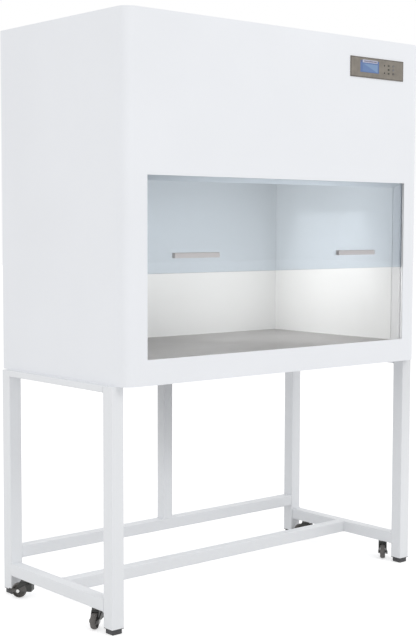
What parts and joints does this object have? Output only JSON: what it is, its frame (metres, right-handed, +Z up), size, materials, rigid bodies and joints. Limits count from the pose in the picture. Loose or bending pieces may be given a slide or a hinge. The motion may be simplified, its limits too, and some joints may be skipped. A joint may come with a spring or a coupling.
{
  "type": "laminar flow hood",
  "caption": "Laminar flow hood on a welded tube stand with castors: a blower and filter press clean air down over a steel worktop behind a sliding glass sash.",
  "frame": {"origin": "on the floor, midway between the outermost faces", "axes": "+Z up; the user stands on the -Y side; +X is the user's right"},
  "size_m": [1.378, 0.6878, 1.862],
  "materials": {
    "casing_paint": "satin powder coat, cool white",
    "chamber_paint": "satin powder coat, light grey",
    "stainless_steel": "fine brushed stainless",
    "aluminium": "satin anodised",
    "galvanised_steel": "galvanised",
    "motor_paint": "semi-gloss black",
    "filter_media": "pleated glass-fibre paper in a frame",
    "filter_pad": "non-woven polyester",
    "sash_glass": "clear, slightly blue",
    "lamp_glass": "opal, phosphor coated",
    "quartz_glass": "clear quartz",
    "white_plastic": "moulded",
    "fascia_plastic": "warm grey printed plate",
    "display_plastic": "display window, pale blue",
    "circuit_board": "solder-masked",
    "key_plastic": "moulded caps",
    "lens_plastic": "indicator lenses",
    "black_plastic": "moulded",
    "wheel_plastic": "moulded nylon",
    "zinc_plate": "zinc plated",
    "stand_paint": "satin powder coat, cool white"
  },
  "bodies": {
    "cabinet": {"outer_shell": "casing_paint", "back_panel": "casing_paint", "top_panel": "casing_paint", "bottom_pan": "casing_paint", "intake_grille": "casing_paint", "prefilter_pad": "filter_pad", "worktop": "stainless_steel", "wall_back": "chamber_paint", "wall_left": "chamber_paint", "wall_right": "chamber_paint", "jamb_left": "chamber_paint", "jamb_right": "chamber_paint", "header_reveal": "chamber_paint", "glass_runs": "aluminium", "diffuser": "chamber_paint", "hepa_filter": "filter_media", "fan_deck": "galvanised_steel", "blower_scroll": "galvanised_steel", "blower_motor": "motor_paint", "lamp_tube": "lamp_glass", "uv_tube": "quartz_glass", "lampholders": "white_plastic", "control_fascia": "fascia_plastic", "display_window": "display_plastic", "control_board": "circuit_board", "indicator_lenses": "lens_plastic", "power_inlet": "black_plastic", "leg_front_left": "stand_paint", "leg_front_right": "stand_paint", "leg_back_left": "stand_paint", "leg_back_right": "stand_paint", "top_frame": "stand_paint", "side_rail_left": "stand_paint", "side_rail_right": "stand_paint", "middle_rail": "stand_paint", "back_rail": "stand_paint", "back_strut": "stand_paint", "feet": "black_plastic", "castor_stems": "zinc_plate"},
    "sash": {"sash_glass": "sash_glass", "sash_handles": "aluminium"},
    "impeller": {"impeller": "galvanised_steel"},
    "key_1": {"key_1": "key_plastic"},
    "key_2": {"key_2": "key_plastic"},
    "key_3": {"key_3": "key_plastic"},
    "key_4": {"key_4": "key_plastic"},
    "key_5": {"key_5": "key_plastic"},
    "key_6": {"key_6": "key_plastic"},
    "castor_front_left": {"castor_fork_front_left": "black_plastic"},
    "wheel_front_left": {"castor_wheel_front_left": "wheel_plastic"},
    "pedal_front_left": {"castor_pedal_front_left": "black_plastic"},
    "castor_front_right": {"castor_fork_front_right": "black_plastic"},
    "wheel_front_right": {"castor_wheel_front_right": "wheel_plastic"},
    "pedal_front_right": {"castor_pedal_front_right": "black_plastic"},
    "castor_back_left": {"castor_fork_back_left": "black_plastic"},
    "wheel_back_left": {"castor_wheel_back_left": "wheel_plastic"},
    "pedal_back_left": {"castor_pedal_back_left": "black_plastic"},
    "castor_back_right": {"castor_fork_back_right": "black_plastic"},
    "wheel_back_right": {"castor_wheel_back_right": "wheel_plastic"},
    "pedal_back_right": {"castor_pedal_back_right": "black_plastic"}
  },
  "joints": [
    {"name": "sash_slide", "type": "slide", "parent": "cabinet", "child": "sash", "axis": [0, 0, 1], "range_m": [-0.259, 0.19]},
    {"name": "impeller_spin", "type": "hinge", "parent": "cabinet", "child": "impeller", "pos_m": [0, -0.0406, 1.7115], "axis": [1, 0, 0], "continuous": true},
    {"name": "key_1_press", "type": "slide", "parent": "cabinet", "child": "key_1", "axis": [0, 1, 0], "range_m": [0, 0.0006], "stiffness_N_per_m": 1500, "springref_m": -0.0004},
    {"name": "key_2_press", "type": "slide", "parent": "cabinet", "child": "key_2", "axis": [0, 1, 0], "range_m": [0, 0.0006], "stiffness_N_per_m": 1500, "springref_m": -0.0004},
    {"name": "key_3_press", "type": "slide", "parent": "cabinet", "child": "key_3", "axis": [0, 1, 0], "range_m": [0, 0.0006], "stiffness_N_per_m": 1500, "springref_m": -0.0004},
    {"name": "key_4_press", "type": "slide", "parent": "cabinet", "child": "key_4", "axis": [0, 1, 0], "range_m": [0, 0.0006], "stiffness_N_per_m": 1500, "springref_m": -0.0004},
    {"name": "key_5_press", "type": "slide", "parent": "cabinet", "child": "key_5", "axis": [0, 1, 0], "range_m": [0, 0.0006], "stiffness_N_per_m": 1500, "springref_m": -0.0004},
    {"name": "key_6_press", "type": "slide", "parent": "cabinet", "child": "key_6", "axis": [0, 1, 0], "range_m": [0, 0.0006], "stiffness_N_per_m": 1500, "springref_m": -0.0004},
    {"name": "swivel_front_left", "type": "hinge", "parent": "cabinet", "child": "castor_front_left", "pos_m": [-0.651, -0.1901, 0.058], "axis": [0, 0, 1], "continuous": true},
    {"name": "roll_front_left", "type": "hinge", "parent": "castor_front_left", "child": "wheel_front_left", "pos_m": [-0.66834, -0.20364, 0.025], "axis": [0.6157, -0.788, 0], "continuous": true},
    {"name": "brake_front_left", "type": "hinge", "parent": "castor_front_left", "child": "pedal_front_left", "pos_m": [-0.66834, -0.20364, 0.025], "axis": [-0.6157, 0.788, 0], "range_deg": [0, 10]},
    {"name": "swivel_front_right", "type": "hinge", "parent": "cabinet", "child": "castor_front_right", "pos_m": [0.651, -0.1901, 0.058], "axis": [0, 0, 1], "continuous": true},
    {"name": "roll_front_right", "type": "hinge", "parent": "castor_front_right", "child": "wheel_front_right", "pos_m": [0.63465, -0.20482, 0.025], "axis": [0.6691, -0.7431, 0], "continuous": true},
    {"name": "brake_front_right", "type": "hinge", "parent": "castor_front_right", "child": "pedal_front_right", "pos_m": [0.63465, -0.20482, 0.025], "axis": [-0.6691, 0.7431, 0], "range_deg": [0, 10]},
    {"name": "swivel_back_left", "type": "hinge", "parent": "cabinet", "child": "castor_back_left", "pos_m": [-0.651, 0.2124, 0.058], "axis": [0, 0, 1], "continuous": true},
    {"name": "roll_back_left", "type": "hinge", "parent": "castor_back_left", "child": "wheel_back_left", "pos_m": [-0.66514, 0.22925, 0.025], "axis": [-0.766, -0.6428, 0], "continuous": true},
    {"name": "brake_back_left", "type": "hinge", "parent": "castor_back_left", "child": "pedal_back_left", "pos_m": [-0.66514, 0.22925, 0.025], "axis": [0.766, 0.6428, 0], "range_deg": [0, 10]},
    {"name": "swivel_back_right", "type": "hinge", "parent": "cabinet", "child": "castor_back_right", "pos_m": [0.651, 0.2124, 0.058], "axis": [0, 0, 1], "continuous": true},
    {"name": "roll_back_right", "type": "hinge", "parent": "castor_back_right", "child": "wheel_back_right", "pos_m": [0.63686, 0.22925, 0.025], "axis": [-0.766, -0.6428, 0], "continuous": true},
    {"name": "brake_back_right", "type": "hinge", "parent": "castor_back_right", "child": "pedal_back_right", "pos_m": [0.63686, 0.22925, 0.025], "axis": [0.766, 0.6428, 0], "range_deg": [0, 10]}
  ]
}
